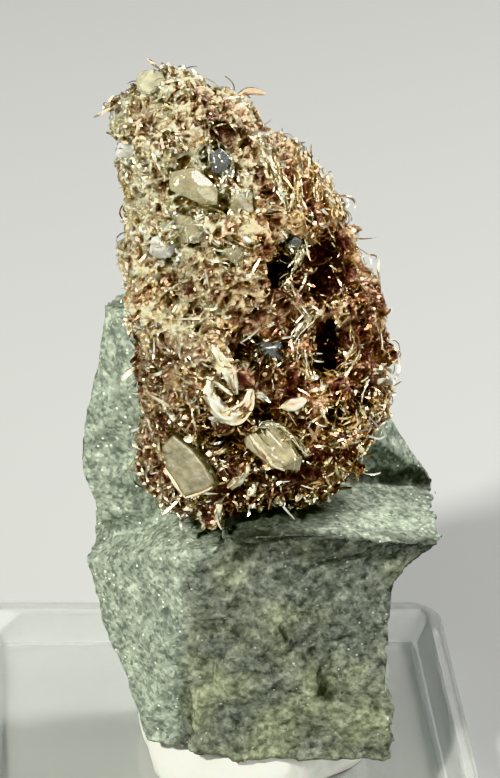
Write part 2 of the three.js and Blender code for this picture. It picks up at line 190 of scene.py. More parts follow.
def box_of(points):
    """The middle and the half sizes of the points' box."""
    low, high = points.min(axis=0), points.max(axis=0)
    return (low + high) / 2, (high - low) / 2


def node_box(node):
    return box_of(np.array(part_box(node)) / MM)


def reach_from(points, middle, half):
    """How far each point is from an ellipsoid's middle: 1 on the ellipsoid."""
    return norm((points - np.array(middle)) / np.array(half), axis=1)


def unit(vectors):
    return vectors / np.maximum(norm(vectors, axis=-1, keepdims=True), 1e-12)


def normals_of(points, triangles):
    a, b, c = (points[triangles[:, k]] for k in range(3))
    face = np.cross(b - a, c - a)
    total = np.zeros_like(points)
    for k in range(3):
        np.add.at(total, triangles[:, k], face)
    return unit(total)


def ringed(rings, bottom, top):
    """A closed shape of rings from below to above, each anticlockwise from above, with a point that
    closes it at each end: points and triangles."""
    points = np.concatenate([*rings, [bottom], [top]])
    count = len(rings[0])
    foot = len(rings) * count
    last = foot - count
    around = np.arange(count)
    ahead = (around + 1) % count
    triangles = []
    for low in range(0, last, count):
        high = low + count
        triangles.append(np.column_stack([low + around, low + ahead, high + ahead]))
        triangles.append(np.column_stack([low + around, high + ahead, high + around]))
    triangles.append(np.column_stack([np.full(count, foot), ahead, around]))
    triangles.append(np.column_stack([np.full(count, foot + 1), last + around, last + ahead]))
    return points, np.concatenate(triangles)


# ---- materials ----
def plug(node, name, value):
    """Sets a node's input to a value, or links it to another node's output."""
    socket = node.inputs[name]
    if isinstance(value, bpy.types.NodeSocket):
        node.id_data.links.new(value, socket)
    else:
        socket.default_value = value


def add(near, kind, inputs=None, **settings):
    """A new node in the node tree of the node or socket that is given as near."""
    node = near.id_data.nodes.new("ShaderNode" + kind)
    for key, value in settings.items():
        setattr(node, key, value)
    for key, value in (inputs or {}).items():
        plug(node, key, value)
    return node


def new_material(name, **sockets):
    """A Principled material, its shader and its coordinates in millimetres, so that texture scales
    read as features per millimetre."""
    material = bpy.data.materials.new(name)
    material.use_nodes = True
    shader = material.node_tree.nodes["Principled BSDF"]
    for key, value in sockets.items():
        plug(shader, key.replace("_", " "), value)
    place = add(shader, "TexCoord").outputs["Object"]
    scaled = add(shader, "VectorMath", {0: place, "Scale": 1 / MM}, operation="SCALE")
    return material, shader, scaled.outputs[0]


def ramp(factor, stops):
    node = add(factor, "ValToRGB", {"Fac": factor})
    elements = node.color_ramp.elements
    while len(elements) < len(stops):
        elements.new(0.5)
    for element, (position, colour) in zip(elements, stops):
        element.position = position
        element.color = (*colour, 1)
    return node.outputs["Color"]


def noise_texture(vector, scale, detail, roughness, distortion=0.0):
    inputs = {"Vector": vector, "Scale": scale, "Detail": detail, "Roughness": roughness,
              "Distortion": distortion}
    return add(vector, "TexNoise", inputs).outputs["Fac"]


def mix_colour(factor, a, b):
    """From colour a to colour b as factor goes from 0 to 1."""
    a, b = ((*colour, 1) if isinstance(colour, tuple) else colour for colour in (a, b))
    return add(factor, "Mix", {0: factor, 6: a, 7: b}, data_type="RGBA").outputs[2]


def maths(operation, *values, clamp=False):
    """The first of the values is a socket."""
    inputs = dict(enumerate(values))
    return add(values[0], "Math", inputs, operation=operation, use_clamp=clamp).outputs[0]


def blended(a, b, share):
    """A share of a and the rest of b."""
    return maths("ADD", maths("MULTIPLY", a, share), maths("MULTIPLY", b, 1 - share))


def attribute(shader, name):
    """A number kept at the piece's points."""
    return add(shader, "Attribute", attribute_name=name).outputs["Fac"]


def bump(shader, height, strength, distance_mm):
    inputs = {"Height": height, "Strength": strength, "Distance": distance_mm * MM}
    plug(shader, "Normal", add(shader, "Bump", inputs).outputs["Normal"])


# Bare gold from its dark hollows to its brightest edges, where it is pale and where it is ruddy.
PALE_GOLD = [
    (0.0, (0.015, 0.011, 0.012)),
    (0.22, (0.119, 0.071, 0.061)),
    (0.42, (0.358, 0.281, 0.198)),
    (0.62, (0.63, 0.60, 0.43)),
    (0.82, (0.83, 0.84, 0.68)),
    (1.0, (0.94, 0.95, 0.86)),
]
RUDDY_GOLD = [
    (0.0, (0.016, 0.009, 0.012)),
    (0.22, (0.138, 0.064, 0.057)),
    (0.42, (0.445, 0.263, 0.165)),
    (0.62, (0.755, 0.592, 0.34)),
    (0.82, (0.92, 0.81, 0.51)),
    (1.0, (0.97, 0.93, 0.74)),
]


def gold_material(name, roughness, crease, fleck):
    """Bare gold whose colour follows the piece's tone, dark to bright, and its warmth. crease is
    how deep its fine creases are, in millimetres, and fleck how uneven its tone is."""
    material, shader, vector = new_material(name, Metallic=1.0, Roughness=roughness)
    speckle = noise_texture(vector, 4.0, 4.0, 0.7)
    uneven = maths("MULTIPLY_ADD", speckle, fleck, -0.5 * fleck)
    lit = maths("ADD", attribute(shader, "tone"), uneven, clamp=True)
    pale, ruddy = ramp(lit, PALE_GOLD), ramp(lit, RUDDY_GOLD)
    colour = mix_colour(attribute(shader, "warmth"), pale, ruddy)
    plug(shader, "Base Color", colour)
    fine = noise_texture(vector, 4.5, 4.0, 0.65, 0.6)
    creases = maths("ABSOLUTE", maths("SUBTRACT", fine, 0.5))
    bump(shader, creases, 1.0, crease)
    return material


# Greenstone: where it is fresh, sugary or greener, and where it is weathered, dark or lime.
SUGARY_STONE = [
    (0.32, (0.098, 0.114, 0.094)),
    (0.45, (0.172, 0.201, 0.160)),
    (0.57, (0.246, 0.288, 0.228)),
    (0.74, (0.40, 0.45, 0.36)),
]
GREEN_STONE = [
    (0.34, (0.070, 0.086, 0.070)),
    (0.50, (0.135, 0.163, 0.130)),
    (0.74, (0.275, 0.325, 0.26)),
]
DARK_STONE = [
    (0.38, (0.030, 0.035, 0.030)),
    (0.48, (0.080, 0.091, 0.075)),
    (0.58, (0.150, 0.166, 0.138)),
    (0.70, (0.29, 0.31, 0.26)),
]
LIME_STONE = [
    (0.36, (0.056, 0.063, 0.042)),
    (0.48, (0.140, 0.157, 0.104)),
    (0.60, (0.255, 0.28, 0.19)),
    (0.72, (0.43, 0.46, 0.32)),
]
SPARKLE_COLOUR = (0.84, 0.90, 0.78)
SPARKLE_RARITY = 0.96  # the share of the grains that don't sparkle
SPARKLE_RADIUS = 0.27  # as a share of a grain
SHADE_COLOUR = (0.006, 0.008, 0.006)


def stone_material():
    """Stone that is sugary and sparkles where broken is 0, and weathered where it is 1: dark, or
    yellow-green where lime is 1. shade darkens it."""
    material, shader, vector = new_material("greenstone", Specular_IOR_Level=0.3)
    broken = attribute(shader, "broken")
    grains = noise_texture(vector, 1.6, 3.0, 0.55)
    cell_colours = add(shader, "TexVoronoi", {"Vector": vector, "Scale": 4.8})
    facets = add(shader, "SeparateColor", {"Color": cell_colours.outputs["Color"]})
    grainy = blended(grains, facets.outputs[1], 0.72)
    patches = noise_texture(vector, 0.8, 4.0, 0.6, 0.4)
    patchy = ramp(patches, [(0.46, (0, 0, 0)), (0.64, (1, 1, 1))])
    sugary, green = ramp(grainy, SUGARY_STONE), ramp(grainy, GREEN_STONE)
    fresh = mix_colour(patchy, sugary, green)

    mottles = noise_texture(vector, 1.3, 6.0, 0.70, 0.2)
    speckled = blended(mottles, grainy, 0.6)
    dark, lime = ramp(speckled, DARK_STONE), ramp(speckled, LIME_STONE)
    weathered = mix_colour(attribute(shader, "lime"), dark, lime)
    colour = mix_colour(broken, fresh, weathered)

    # painted glints: a few grains near white in the base colour, and glossier
    flecks = add(shader, "TexVoronoi", {"Vector": vector, "Scale": 3.8})
    picked = add(shader, "SeparateColor", {"Color": flecks.outputs["Color"]}).outputs[0]
    bright = maths("GREATER_THAN", picked, SPARKLE_RARITY)
    near = maths("LESS_THAN", flecks.outputs["Distance"], SPARKLE_RADIUS)
    sparkle = maths("MULTIPLY", bright, near)
    clean = maths("MULTIPLY_ADD", broken, -0.6, 0.9)
    colour = mix_colour(maths("MULTIPLY", sparkle, clean), colour, SPARKLE_COLOUR)
    lit = maths("MULTIPLY_ADD", attribute(shader, "shade"), -0.86, 1.0)
    colour = mix_colour(lit, SHADE_COLOUR, colour)
    plug(shader, "Base Color", colour)
    gloss = maths("MULTIPLY_ADD", sparkle, -0.5, 0.85)
    plug(shader, "Roughness", gloss)
    bump(shader, grainy, 0.7, 0.06)
    return material


# Quartz: tint, roughness, how milky it is from 0 to 1, and how strongly it absorbs.
QUARTZ = {
    "clear": ((0.60, 0.56, 0.37), 0.10, 0.32, 40.0),
    "honey": ((0.60, 0.55, 0.36), 0.18, 0.40, 60.0),
    "cream": ((0.64, 0.62, 0.44), 0.22, 0.50, 20.0),
    "milky": ((0.92, 0.92, 0.78), 0.22, 0.50, 8.0),
    "slate": ((0.14, 0.15, 0.15), 0.16, 0.50, 300.0),
    "khaki": ((0.165, 0.147, 0.075), 0.42, 0.75, 120.0),
}


def quartz_material(finish):
    """Quartz that darkens where it is thick, with clouds and specks in it."""
    tint, haze, milky, depth = QUARTZ[finish]
    material, shader, vector = new_material(
        "quartz_" + finish, Roughness=haze, IOR=1.544, Transmission_Weight=1 - milky
    )
    clouds = noise_texture(vector, 1.6, 8.0, 0.8, 0.5)
    darker, lighter = (tuple(min(1, c * k) for c in tint) for k in (0.6, 1.3))
    colour = ramp(clouds, [(0.38, darker), (0.64, lighter)])
    plug(shader, "Base Color", colour)
    bump(shader, noise_texture(vector, 5.0, 4.0, 0.6), 0.5, 0.03)
    absorption = add(shader, "VolumeAbsorption", {"Color": (*tint, 1), "Density": depth})
    plug(material.node_tree.nodes["Material Output"], "Volume", absorption.outputs[0])
    return material


def putty_material():
    material, shader, vector = new_material(
        "mounting_putty", Roughness=0.38, Subsurface_Weight=0.25, Subsurface_Scale=0.6 * MM
    )
    smears = noise_texture(vector, 0.5, 4.0, 0.6, 0.5)
    colour = ramp(smears, [(0.35, (0.58, 0.60, 0.55)), (0.65, (0.76, 0.78, 0.73))])
    plug(shader, "Base Color", colour)
    bump(shader, noise_texture(vector, 1.6, 4.0, 0.6), 0.35, 0.12)
    return material


def tray_material():
    """Clear moulded plastic with faint scuffs."""
    material, shader, vector = new_material(
        "clear_plastic", Base_Color=(0.95, 0.98, 0.95, 1), IOR=1.49, Transmission_Weight=0.84
    )
    scuffs = noise_texture(vector, 1.4, 6.0, 0.75, 1.2)
    rough = ramp(scuffs, [(0.45, (0.08, 0.08, 0.08)), (0.75, (0.25, 0.25, 0.25))])
    plug(shader, "Roughness", rough)
    return material


# ---- display tray ----
SQUARE = ((1, 1), (-1, 1), (-1, -1), (1, -1))  # its corners, anticlockwise from above


def rounded_square(half, radius):
    """Points round a square with rounded corners, anticlockwise from above."""
    quarter = np.linspace(0, math.pi / 2, CORNER_STEPS)
    ring = []
    for turn, corner in enumerate(SQUARE):
        angles = quarter + turn * math.pi / 2
        middle = np.array(corner) * (half - radius)
        ring.append(middle + radius * np.stack([np.cos(angles), np.sin(angles)], axis=1))
    return np.concatenate(ring)


def display_tray(material):
    inner = TRAY_HALF - TRAY_RIM
    floor = inner - TRAY_DRAFT
    # half sides and heights, from the underside's middle round to the floor's middle
    outline = np.array([
        (0, 0), (TRAY_HALF, 0), (TRAY_HALF, TRAY_HEIGHT), (inner, TRAY_HEIGHT), (floor, TRAY_FLOOR),
        (0, TRAY_FLOOR),
    ])
    rings = []
    for before, edge, after in zip(outline, outline[1:], outline[2:]):
        start, end = (edge + TRAY_SOFTNESS * unit(side - edge) for side in (before, after))
        for t in np.linspace(0, 1, EDGE_STEPS):
            half, height = (1 - t) ** 2 * start + 2 * t * (1 - t) * edge + t * t * end
            outside = edge[0] == TRAY_HALF
            radius = TRAY_CORNER - (TRAY_HALF - half) if outside else TRAY_INNER_CORNER
            ring = rounded_square(half, radius)
            rings.append(np.column_stack([ring, np.full(len(ring), height)]))
    points, triangles = ringed(rings, (0, 0, 0), (0, 0, TRAY_FLOOR))
    new_piece("clear_tray", points, triangles, material, "clear_plastic", ["display_tray"])


# ---- putty ----
def mounting_putty(material):
    """A pressed lump between the tray and the stone, with finger dents."""
    columns, rows = 120, 34
    middle, half_width, half_depth = np.array([1.9, 0.9]), 7.2, 5.3
    foot = TRAY_FLOOR + 0.02
    top = ROCK_FOOT + 0.5  # its upper face is hidden in the stone's uneven underside
    angle = np.arange(columns) / columns * 2 * math.pi
    swell = 1 + 0.07 * np.sin(3 * angle + 0.6) + 0.05 * np.sin(5 * angle + 2)
    rings = []
    for t in np.linspace(0, 1, rows + 1):
        height = foot + (top - TRAY_FLOOR) * t
        bulge = 0.86 + 0.16 * math.sin(math.pi * min(1.0, 0.12 + 0.9 * t)) ** 0.7 - 0.05 * t
        x = middle[0] + half_width * bulge * swell * np.cos(angle)
        y = middle[1] + half_depth * bulge * swell * np.sin(angle)
        rings.append(np.column_stack([x, y, np.full(columns, height)]))
    points, triangles = ringed(rings, (*middle, foot), (*middle, top))
    inside = np.array([*middle, 3.0])
    level = np.array([1, 1, 0]) * (points[:, 2:] > foot + 0.01)
    dents = 0.35 * fractal(points, 2.4, 3, 5)
    points = points + unit(points - inside) * dents[:, None] * level
    new_piece("putty", points, triangles, material, "putty", ["mounting_putty"], smooth=True)


# ---- stone ----
def chipped(points, size, seed):
    """Heights of small tilted flats, as on a hackly break, about -1 to 1."""
    warped = points + 0.25 * size * noise_vectors(points, size, seed + 20)
    _, _, number = cells(warped, size, seed)
    tilt = np.stack([np.cos(number * 40.0), np.sin(number * 70.0), np.sin(number * 110.0)], axis=1)
    slope = np.sum(tilt * np.sin(warped / size * 2.0), axis=1)
    return np.clip(2 * number - 1 + 0.5 * slope, -1.3, 1.3)


# The layer that the front broke back to, leaving its lower part proud: outline in X and Z.
BROKEN_LAYER = [
    (-2.2, 4.7), (-2.1, 9.6), (-1.0, 10.3), (-0.9, 11.8), (-0.3, 13.1), (0.6, 14.0), (1.3, 14.9),
    (2.4, 15.2), (3.0, 14.6), (3.4, 13.1), (4.4, 13.0), (5.3, 11.7), (5.5, 10.5), (6.7, 9.6),
    (7.9, 8.6), (9.2, 8.4), (9.5, 4.7),
]
ROCK_PIT = (6.1, -5.6, 10.3)
STONE_VOXEL = 0.24


def outline_depth(x, z, outline):
    """How deep inside a closed outline each place is; less than 0 outside."""
    nearest = np.full(len(x), np.inf)
    inside = np.zeros(len(x), bool)
    for (ax, az), (bx, bz) in zip(outline, outline[1:] + outline[:1]):
        dx, dz = bx - ax, bz - az
        along = np.clip(((x - ax) * dx + (z - az) * dz) / math.hypot(dx, dz) ** 2, 0, 1)
        nearest = np.minimum(nearest, np.hypot(x - ax - along * dx, z - az - along * dz))
        if dz:
            inside ^= ((az > z) != (bz > z)) & (x < ax + (z - az) * dx / dz)
    return np.where(inside, nearest, -nearest)


def matrix_rock(material):
    points, triangles = remeshed(node_mesh("matrix_rock"), STONE_VOXEL)
    normals = normals_of(points, triangles)
    x, y, z = (points + 0.25 * noise_vectors(points, 0.8, 27)).T
    # the break's left edge slants to the right near the top
    past_edge = x + 2.9 - 2.3 * smoothstep(17.6, 21.2, z)
    facing = smoothstep(0.35, 0.6, -normals[:, 1]) * smoothstep(-0.5, 0.2, past_edge)
    in_front = smoothstep(0.1, 0.5, past_edge) * smoothstep(-3.6, -4.4, y)
    lower = np.maximum(smoothstep(21.3, 20.6, z), smoothstep(-5.3, -5.9, y))
    broken = np.maximum(facing, in_front) * lower
    layer = outline_depth(x, z, BROKEN_LAYER)
    proud = smoothstep(-0.10, 0.10, layer)

    coarse = 0.16 * fractal(points, 2.4, 3, 31)
    grain = 0.10 * fractal(points, 0.5, 2, 41)
    chips = 0.09 * chipped(points, 1.9, 51) + 0.05 * chipped(points, 0.8, 55)
    depth = coarse + grain + broken * (chips + 0.26 * proud - 0.14) - 0.03
    points = points + normals * depth[:, None]
    points[:, 0] += 0.8 * smoothstep(4.0, 8.0, x) * smoothstep(10.6, 8.8, z)

    # painted shade: a dark line under the layer's edge, shade in the pit and below the ledge, and
    # the gold's shadow on the ledge round its foot
    rim = smoothstep(0.0, -0.12, layer) * smoothstep(-0.42, -0.15, layer) * broken
    pit = 1 - smoothstep(0.55, 1.05, reach_from(points, ROCK_PIT, 1))
    under = broken * smoothstep(18.6, 20.2, z + 0.5 * noise(points, 1.6, 33))
    under = under * smoothstep(-0.8, 0.6, x)
    foot = np.hypot((x - 0.8) / 5.2, (y + 1.2) / 4.4)
    level = smoothstep(0.1, 0.5, normals[:, 2]) * (z > 19.0)
    # the gold's painted shadow on the ledge top round its foot
    foot_shadow = smoothstep(1.45, 1.0, foot) * level * smoothstep(-2.2, -0.9, x)
    shade = np.clip(0.55 * rim + 0.95 * pit + 0.46 * under + 0.85 * foot_shadow, 0, 1)
    edge_band = smoothstep(0.0, 0.1, layer) * smoothstep(1.5, 0.2, layer)
    patch = smoothstep(-0.25, 0.55, fractal(points, 2.6, 4, 37) + 0.03 * (14 - z))
    lime = broken * np.clip(0.30 * edge_band + 0.85 * patch, 0, 1)
    new_piece(
        "stone", points, triangles, material, "greenstone", ["matrix_rock"], smooth=True,
        broken=broken, lime=lime, shade=shade,
    )


# ---- quartz ----
# The plate and the block, each of slabs: a slab's corners to the right and up from the crystal's
# middle, its thickness, how far it stands out and how its face tips to the right and up.
PLATE = [
    ([(-1.9, 0.75), (-1.35, -0.45), (0.1, -1.8), (1.5, -1.1), (1.8, -0.6), (1.0, 0.3), (0.0, 1.05),
      (-1.35, 1.6)], 1.3, 0.0, (0.0, 0.0)),
]
BLOCK = [
    ([(-1.7, 0.9), (-1.65, 0.1), (-0.3, -1.0), (0.4, -1.2), (-0.2, -0.2), (-1.1, 0.9)],
     1.4, -0.05, (0.7, 0.5)),
    ([(-1.2, 1.0), (-0.3, -0.5), (0.5, -1.1), (1.3, -0.75), (0.9, 0.1), (-0.3, 1.3)],
     1.6, 0.05, (0.15, -0.30)),
    ([(-0.5, 1.3), (0.7, -0.2), (1.3, -0.8), (1.65, -0.6), (0.8, 0.65), (-0.1, 1.35)],
     1.4, 0.0, (-0.8, -0.30)),
    ([(0.4, -1.2), (1.5, -1.35), (1.65, -0.5), (0.9, -0.5)], 1.3, -0.25, (-0.2, 0.6)),
]
PLATE_FACING = (-0.42, -0.80, 0.42)
BLOCK_FACING = (0.05, -0.85, 0.52)
EDGE_CUT = 0.06

# Voxel, cuts, and the least share of a crystal's reach that a cut leaves.
SLAB_BREAKAGE = (0.085, 2, 0.88)
GRAIN_BREAKAGE = (0.13, 15, 0.50)


def cut_crystal(slabs, middle, facing):
    """A crystal of flat-faced slabs that look the given way, as a mesh."""
    out = unit(np.array(facing))
    right = unit(np.cross(out, (0, 0, -1.0)))
    up = np.cross(out, right)
    parts, faces = [], []
    for outline, thickness, rise, tip in slabs:
        outline = np.array(outline)
        centre = outline.mean(axis=0)
        stations = (
            (0.9, rise - 0.5 * thickness), (1.0, rise - 0.3 * thickness),
            (1.0, rise + 0.5 * thickness - EDGE_CUT), (1 - EDGE_CUT, rise + 0.5 * thickness),
        )
        rings = []
        for share, height in stations:
            flat = centre + (outline - centre) * share
            lean = (flat - centre) @ np.array(tip) * (height > rise)
            rings.append(
                middle + flat[:, :1] * right + flat[:, 1:] * up + (height + lean)[:, None] * out
            )
        points, triangles = ringed(rings, rings[0].mean(axis=0), rings[-1].mean(axis=0))
        faces.append(triangles + sum(len(part) for part in parts))
        parts.append(points)
    mesh = bpy.data.meshes.new("cut_crystal")
    mesh.from_pydata(np.concatenate(parts), [], np.concatenate(faces))
    return mesh


def broken_crystal(points, rng, cuts, least):
    """Points of a crystal cut back by flats at random angles, each to a share of its reach that is
    at least the given one."""
    middle, _ = box_of(points)
    points = points + 0.015 * noise_vectors(points, 0.3, 125)
    for direction in unit(rng.normal(size=(cuts, 3))):
        reach = (points - middle) @ direction
        limit = reach.max() * rng.uniform(least, 0.95)
        points = points - np.maximum(reach - limit, 0)[:, None] * direction
    return points


# Each crystal's finish, and how far it stands from its place in the CAD.
CRYSTALS = {
    "plate": ("khaki", (0.47, -0.15, 0.19)),
    "block": ("honey", (-0.2, 0.0, 0.07)),
    "window": ("clear", (-0.15, 0.1, 0.45)),
    "grain_4": ("clear", (0.3, 0.3, 0.1)),
    "grain_5": ("milky", (0.0, 0.1, 0.0)),
    "grain_6": ("milky", (0.3, 0.2, 0.15)),
    "grain_7": ("slate", (0.0, 0.2, 0.0)),
    "grain_8": ("honey", (0.1, 0.3, 0.1)),
    "grain_9": ("clear", (0.0, 0.3, -0.1)),
    "grain_10": ("slate", (-0.25, -0.3, 0.2)),
    "grain_11": ("cream", (0.3, 0.25, -0.35)),
    "grain_12": ("slate", (0.0, 0.3, -0.1)),
}


def quartz_crystals():
    """The plate, the block and the broken grains. Returns each one's points and triangles."""
    rng = np.random.default_rng(SEED + 1)
    materials = {finish: quartz_material(finish) for finish in QUARTZ}
    slabs = {"plate": (PLATE, PLATE_FACING), "block": (BLOCK, BLOCK_FACING)}
    surfaces = []
    for name, (finish, shift) in CRYSTALS.items():
        node = "quartz_" + name
        if name in slabs:
            shape, facing = slabs[name]
            middle, _ = node_box(node)
            mesh = cut_crystal(shape, middle, facing)
            voxel, cuts, least = SLAB_BREAKAGE
        else:
            mesh = node_mesh(node)
            voxel, cuts, least = GRAIN_BREAKAGE
        points, triangles = remeshed(mesh, voxel, weld=True)
        if name not in slabs:
            middle = points.mean(axis=0)
            points = middle + 1.20 * (points - middle) + 0.12 * noise_vectors(points, 1.1, 121)
        points = broken_crystal(points + np.array(shift), rng, cuts, least)
        new_piece(
            node + "_piece", points, triangles, materials[finish], "quartz", [node], smooth=True
        )
        surfaces.append((points, triangles))
    return surfaces


# ---- gold ----
GOLD_VOXEL = 0.165

# Hollows where little light gets in: middle, half sizes and how dark.
DARK_HOLLOWS = [
    ((2.0, -2.4, 37.8), (1.4, 2.4, 1.6), 1.0),
    ((4.7, -1.9, 37.4), (1.9, 3.0, 2.4), 0.8),
    ((4.9, -2.8, 32.2), (1.3, 2.6, 2.1), 0.85),
    ((0.2, -3.8, 32.5), (1.2, 2.4, 1.3), 0.9),
    ((7.1, -3.1, 29.0), (1.4, 2.4, 0.8), 0.95),
    ((5.6, -4.1, 28.6), (1.1, 2.2, 0.7), 0.95),
    ((1.1, -4.7, 29.4), (1.2, 2.2, 0.7), 0.7),
    ((-0.7, -4.4, 26.8), (1.2, 2.2, 1.0), 0.9),
    ((-1.6, -1.2, 45.2), (1.1, 2.0, 0.8), 0.7),
    ((2.5, -5.0, 22.4), (4.6, 3.0, 1.2), 0.9),
]


def hollow_shade(points):
    shade = np.zeros(len(points))
    points = points + 0.7 * noise_vectors(points, 1.1, 61)
    for middle, half, depth in DARK_HOLLOWS:
        reach = reach_from(points, middle, half)
        shade = np.maximum(shade, depth * (1 - smoothstep(0.55, 1.15, reach)))
    return shade


def low_part(points):
    """From 0 in the upper half of the gold to 1 in its lowest fifth."""
    return smoothstep(35.0, 27.0, points[:, 2])


def gold_tone(points):
    """From 0, dark, to 1, bright, with painted light: brighter at the left, the top and the low
    right.
    """
    x, _, z = points.T
    side = smoothstep(4.0, -6.0, x + 0.9 * noise(points, 2.2, 71))
    high = smoothstep(24.0, 44.0, z)
    low_right = smoothstep(1.0, 5.0, x) * smoothstep(35.0, 29.0, z)
    uneven = (0.34 - 0.10 * side) * noise(points, 1.5, 73) + 0.14 * noise(points, 2.1, 86)
    # painted light: brighter at the left and the top, toward the key lamp, and at the low right
    lit = 0.51 + 0.20 * side + (0.27 + 0.07 * side) * high + 0.23 * low_right
    return np.clip(lit + uneven, 0, 1)


def gold_warmth(points):
    """From 0, pale and khaki, to 1, golden to copper brown: ruddy in patches and at the right."""
    x, _, z = points.T
    side = smoothstep(-4.0, 6.0, x + 1.5 * noise(points, 3.0, 75))
    high = smoothstep(34.0, 46.0, z)
    patches = 0.42 * noise(points, 1.1, 76)
    return np.clip(0.12 + 0.60 * side - 0.30 * high * (1 - side) + patches, 0, 1)


def web(points):
    """How near each point is to a wall of the gold's sponge, 0 in the pits to 1 on the walls."""
    warped = points + 0.45 * noise_vectors(points, 2.4, 80) + 0.36 * noise_vectors(points, 0.9, 81)
    warped += 0.12 * noise_vectors(points, 0.3, 82)
    near, second, _ = cells(warped * np.array([1, 1, 0.85]), 0.95, 84)
    coarse = 1 - smoothstep(0.0, 0.42, second - near)
    near, second, _ = cells(warped, 0.46, 88)
    fine = 1 - smoothstep(0.0, 0.5, second - near)
    return np.maximum(coarse, 0.75 * fine)


def gold_core(material):
    """The grown mass: thin walls round small dark pits. Returns its points before and after they
    are moved, its triangles and how near each point is to a wall."""
    points, triangles = remeshed(node_mesh("gold_mass"), GOLD_VOXEL)
    normals = normals_of(points, triangles)
    walls, hollow, low = web(points), hollow_shade(points), low_part(points)
    lumps = noise(points, 2.1, 86)
    top = smoothstep(44.0, 48.0, points[:, 2])
    depth = -0.66 - 0.25 * top + 0.80 * walls + 0.38 * lumps + 0.10 * noise(points, 0.35, 87)
    depth -= 0.55 * hollow
    moved = points + normals * depth[:, None]
    # painted shade: the pits darker than the walls and the hollows darker still, with the pits
    # lifted by painted light at the left; darker toward the bottom, less so at the left
    left = smoothstep(3.0, -6.0, points[:, 0])
    pits = 0.05 + 0.12 * left * (1 - 0.7 * low)
    tone = gold_tone(points) * (1 - 0.92 * hollow) * (pits + 0.62 * walls**1.7)
    tone = tone * (1 - (0.38 - 0.20 * left) * low)
    new_piece(
        "gold_mass_core", moved, triangles, material, "gold", ["gold_mass"], smooth=True,
        tone=tone, warmth=np.clip(gold_warmth(points) + 0.35 * (1 - walls), 0, 1),
    )
    return points, moved, triangles, walls


def scattered(points, triangles, chance, count, rng):
    """Places spread over a surface by area and by each point's chance; returns the index of a
    nearby point for each."""
    a, b, c = (points[triangles[:, k]] for k in range(3))
    area = norm(np.cross(b - a, c - a), axis=1) * chance[triangles[:, 0]]
    faces = rng.choice(len(triangles), count, p=area / area.sum())
    u, v = rng.random(count), rng.random(count)
    flip = u + v > 1
    u, v = np.where(flip, 1 - u, u), np.where(flip, 1 - v, v)
    places = a[faces] + u[:, None] * (b - a)[faces] + v[:, None] * (c - a)[faces]
    return places, triangles[faces, 0]


def skinned(centres, sides, ups, width, section):
    """Closed strips along centre lines, which are indexed by strip, row and axis: points and
    triangles."""
    count, rows = len(centres), centres.shape[1] - 1
    u = np.linspace(0, 1, rows + 1)
    taper = (0.7 + 0.3 * np.sin(math.pi * (0.1 + 0.8 * u))) * (1 - 0.45 * u**6)
    reach = (width[:, None] * taper)[:, :, None, None]
    a, b = (np.array(section)[:, k][:, None] for k in range(2))
    points = centres[:, :, None] + reach * (sides[:, :, None] * a + ups[:, :, None] * b)
    corners = len(section)
    end = corners * rows
    shape = []
    for low in range(0, end, corners):
        high = low + corners
        for k in range(corners):
            ahead = (k + 1) % corners
            shape += [(low + k, high + ahead, high + k), (low + k, low + ahead, high + ahead)]
    for k in range(1, corners - 1):
        shape += [(0, k + 1, k), (end, end + k, end + k + 1)]
    shift = (np.arange(count) * corners * (rows + 1))[:, None, None]
    return points.reshape(-1, 3), (np.array(shape)[None] + shift).reshape(-1, 3)


def curled_strips(rng, roots, directions, toward, length, width, curl, twist, section, rows):
    """Strips that start along their directions and bend toward the given ways by curl radians."""
    count = len(roots)
    ahead = unit(directions)[:, None]
    lift = unit(toward[:, None] - ahead * np.sum(toward[:, None] * ahead, axis=2, keepdims=True))
    across = np.cross(ahead, lift)
    u = np.linspace(0, 1, rows + 1)[None, :, None]
    tighten = rng.normal(scale=0.8, size=(count, 1, 1))
    angle = curl[:, None, None] * u + tighten * u * u
    steps = (np.cos(angle) * ahead + np.sin(angle) * lift) * (length / rows)[:, None, None]
    steps[:, 0] = 0
    normal = np.cos(angle) * lift - np.sin(angle) * ahead
    turn = rng.normal(scale=twist, size=(count, 1, 1)) * u
    sides = np.cos(turn) * across + np.sin(turn) * normal
    ups = np.cos(turn) * normal - np.sin(turn) * across
    return skinned(roots[:, None] + np.cumsum(steps, axis=1), sides, ups, width, section)


def clear_of_quartz(places):
    """True where a place isn't on a crystal, each taken for an ellipsoid a little smaller than its
    box."""
    clear = np.ones(len(places), bool)
    for name in CRYSTALS:
        middle, half = node_box("quartz_" + name)
        clear &= reach_from(places, middle, half - QUARTZ_EDGE) > 1.0
    return clear


# Corners across a strand, in widths.
FLAT_SECTION = [(-0.5, 0.0), (0.5, 0.0), (0.0, 0.3)]
THIN_SECTION = [(-0.5, 0.0), (0.5, 0.0), (-0.1, 0.13)]
CUPPED_SECTION = [(-0.5, 0.16), (-0.2, -0.02), (0.2, -0.06), (0.5, 0.12), (0.2, 0.06), (-0.2, 0.1)]

QUARTZ_EDGE = 0.15  # how far the growth reaches over each crystal's box
OVER_QUARTZ = 0.35  # share of the growth that stays where it would start on a crystal

# Name, roots, strands from each, lengths, widths, curls in radians, section, rows and style.
GROWTH = [
    ("gold_frills", 4200, 1, (0.30, 0.85), (0.18, 0.36), (0.6, 4.2), THIN_SECTION, 4, "upright"),
    ("gold_curls", 6900, 1, (0.35, 0.9), (0.07, 0.16), (0.6, 4.2), FLAT_SECTION, 4, "lying"),
    ("gold_wires", 2900, 1, (0.7, 1.7), (0.065, 0.13), (1.5, 5.0), FLAT_SECTION, 7, "arching"),
    ("gold_tufts", 360, 8, (0.30, 0.7), (0.055, 0.095), (1.0, 3.4), FLAT_SECTION, 4, "fanned"),
    ("gold_ribbons", 2300, 1, (0.8, 2.0), (0.10, 0.20), (0.8, 3.6), FLAT_SECTION, 7, "arching"),
    ("gold_leaves", 520, 1, (0.5, 1.2), (0.20, 0.45), (0.6, 4.2), CUPPED_SECTION, 7, "lying"),
]


